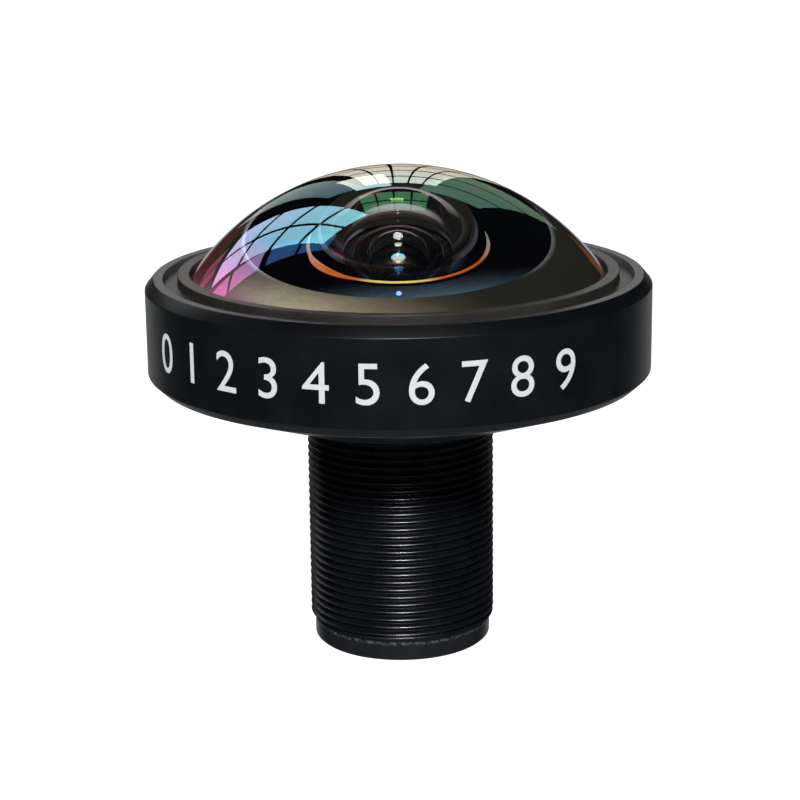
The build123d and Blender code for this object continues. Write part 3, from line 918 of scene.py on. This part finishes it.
table_mesh = bmesh.new()
bmesh.ops.create_circle(table_mesh, cap_ends=True, segments=96, radius=TABLE_RADIUS * MM)
table = finished("table_top", table_mesh, table_finish())
table.visible_glossy = False
table.visible_transmission = False

studio = bpy.data.worlds.new("studio")
bpy.context.scene.world = studio
room = Finish(studio)
_, backward, skyward = room.parts(room.node("ShaderNodeTexCoord", {}, {}, "Generated"))
low_glow = room.span(backward, 0.6, 1.0, 0.0, 0.6) * room.span(skyward, 0.0, -0.06)
low_glow = low_glow + room.span(skyward, -0.6, -0.95, 0.0, 0.1)
mirrored_ray = room.node("ShaderNodeLightPath", {}, {}, "Is Glossy Ray")
felt = room.node(
    "ShaderNodeBackground",
    {},
    {"Color": ROOM_WHITE, "Strength": low_glow * mirrored_ray + LEAST_GLOW},
)
seen = room.node("ShaderNodeBackground", {}, {"Color": WHITE, "Strength": 1.0})
camera_ray = room.node("ShaderNodeLightPath", {}, {}, "Is Camera Ray")
room.node(
    "ShaderNodeOutputWorld",
    {},
    {"Surface": room.node("ShaderNodeMixShader", {}, {0: camera_ray, 1: felt, 2: seen})},
)

glass_only = bpy.data.collections.new("glass_that_mirrors_the_window")
glass_only.objects.link(front_lens)
glass_only.objects.link(second_lens)
metal_only = bpy.data.collections.new("metal_lit_from_behind")
for piece in (head, front_ring, barrel):
    metal_only.objects.link(piece)
thread_only = bpy.data.collections.new("thread_under_the_head")
thread_only.objects.link(barrel)


def lamp(
    name,
    azimuth,
    elevation,
    distance,
    width,
    height,
    glow,
    colours,
    bars=None,
    lit=glass_only,
    inner=True,
):
    """A soft box that faces the lens. Azimuth 0 is straight behind it, 90 on its right.

    glow is its brightness, colours are those of its lower and upper edge, bars
    are the panes across and up with the share that a bar takes of a pane. With
    inner off, only the outer face of the dome mirrors the lamp.
    """
    light = bpy.data.lights.new(name, "AREA")
    light.shape = "RECTANGLE"
    light.size = width * MM
    light.size_y = height * MM
    light.energy = glow * pi * light.size * light.size_y
    f = Finish(light)
    across, up, _ = f.parts(f.node("ShaderNodeNewGeometry", {}, {}, "Parametric"))
    shine = {"Color": f.blend(up, *colours)}
    if bars:
        panes_across, panes_up, share = bars
        shine["Strength"] = (across * panes_across % 1.0 > share) * (up * panes_up % 1.0 > share)
    f.node("ShaderNodeOutputLight", {}, {"Surface": f.node("ShaderNodeEmission", {}, shine)})
    holder = bpy.data.objects.new(name, light)
    bpy.context.collection.objects.link(holder)
    turn, tilt = radians(azimuth), radians(elevation)
    out = Vector((sin(turn) * cos(tilt), cos(turn) * cos(tilt), sin(tilt)))
    holder.location = (Vector((0, 0, AIM_HEIGHT)) + out * distance) * MM
    holder.rotation_euler = out.to_track_quat("Z", "Y").to_euler()
    holder.light_linking.receiver_collection = lit
    holder.visible_transmission = inner
    return holder


# How far each lamp hangs from the lens, in millimetres, as its size is.
NEAR = 700
FILL_FAR = 800
WINDOW_FAR = 900
PLAIN = (WHITE, WHITE)
front_lamp = lamp("front_lamp", 180, 36, NEAR, 200, 200, 19.0, PLAIN, lit=None)
front_lamp.data.shape = "DISK"
lamp("thread_lamp", 180, 36, NEAR, 60, 70, 440.0, PLAIN, lit=thread_only)
lamp("left_fill", -42, 32, NEAR, 300, 300, 1.0, PLAIN, lit=metal_only)
IVORY = (1.0, 0.97, 0.9)
CREAM = (1.0, 0.95, 0.88)
lamp("back_fill", 0, 15, FILL_FAR, 500, 160, 1.1, (WHITE, IVORY), lit=metal_only)
lamp("upper_back_fill", 0, 32, FILL_FAR, 400, 200, 1.0, (WHITE, CREAM), lit=metal_only)
PINK = (0.95, 0.35, 0.6)
LILAC = (0.7, 0.6, 0.8)
BLUE = (0.16, 0.38, 0.75)
SKY = (0.85, 1.0, 0.92)
ROSE = ((0.8, 0.1, 0.2), (1.0, 0.3, 0.5))
PAPER = ((1.0, 0.72, 0.5), (1.0, 0.85, 0.7))
HAZE = ((0.9, 1.0, 0.85), (0.7, 0.75, 0.75))
SAND = ((0.13, 0.12, 0.1), (1.0, 0.82, 0.62))
LEAF = ((0.5, 1.0, 0.35), (0.5, 1.0, 0.35))
MOSS = ((0.5, 0.7, 0.4), (0.75, 1.0, 0.6))
MAROON = ((0.8, 0.1, 0.12), (0.5, 0.08, 0.1))
ORANGE = ((1.0, 0.2, 0.03), (1.0, 0.25, 0.05))
for name, azimuth, elevation, width, height, glow, colours, bars, inner in (
    ("window_left", -54.5, 26, 150, 400, 1.8, (PINK, LILAC), (1, 2, 0.1), False),
    ("window_left_top", -54.5, 52, 150, 380, 1.0, (BLUE, BLUE), (1, 2, 0.1), False),
    ("window_right", -36.5, 40, 335, 760, 3.2, (LILAC, SKY), (2, 4, 0.11), False),
    ("pink_pane", -35, 12, 160, 120, 0.6, ROSE, (2, 1, 0.15), False),
    ("white_card", -6.5, 32, 120, 250, 3.3, PAPER, None, False),
    ("left_haze", -14, 22, 130, 520, 0.7, HAZE, None, False),
    ("back_panel_low", 1, 18, 240, 600, 3.6, SAND, (5, 4, 0.12), False),
    ("back_panel_high", -1, 53, 270, 250, 0.8, LEAF, (4, 2, 0.12), True),
    ("right_panel", 17.5, 28, 270, 500, 0.65, MOSS, (1, 3, 0.08), False),
    ("red_card", -22, 4, 240, 300, 0.17, MAROON, None, True),
    ("orange_card", 23, 2, 110, 130, 0.3, ORANGE, None, True),
):
    lamp(name, azimuth, elevation, WINDOW_FAR, width, height, glow, colours, bars, inner=inner)

# Three small round lamps over the lens, whose reflections line up in its middle.
CYAN = ((0.1, 0.6, 1.0), (0.35, 0.9, 1.0))
GOLD = ((1.0, 0.5, 0.02), (0.45, 0.75, 1.0))
CORAL = ((1.0, 0.2, 0.1), (1.0, 0.85, 0.75))
for name, azimuth, elevation, width, glow, colours in (
    ("spot_0", 180, 69, 26, 7.0, CYAN),
    ("spot_1", 180, 88, 60, 4.5, GOLD),
    ("spot_2", 0, 84.5, 30, 6.0, CORAL),
):
    spot = lamp(name, azimuth, elevation, NEAR, width, width, glow, colours)
    spot.data.shape = "DISK"


# Camera. It looks at the lens from in front and a little above, as it was
# fitted to the outlines of the head, the rings and the thread.
CAMERA_PLACE = (0, -136.372, 51.875)
CAMERA_TILT = 14.844
CAMERA_ROLL = -0.678
view = bpy.data.cameras.new("view")
view.sensor_width = 36
view.lens = 98.5
view.clip_start = 5 * MM
camera = bpy.data.objects.new("view", view)
bpy.context.collection.objects.link(camera)
camera.matrix_world = (
    Matrix.Translation(Vector(CAMERA_PLACE) * MM)
    @ Matrix.Rotation(radians(90 - CAMERA_TILT), 4, "X")
    @ Matrix.Rotation(radians(CAMERA_ROLL), 4, "Z")
)
bpy.context.scene.camera = camera
bpy.context.scene.view_settings.view_transform = "Standard"
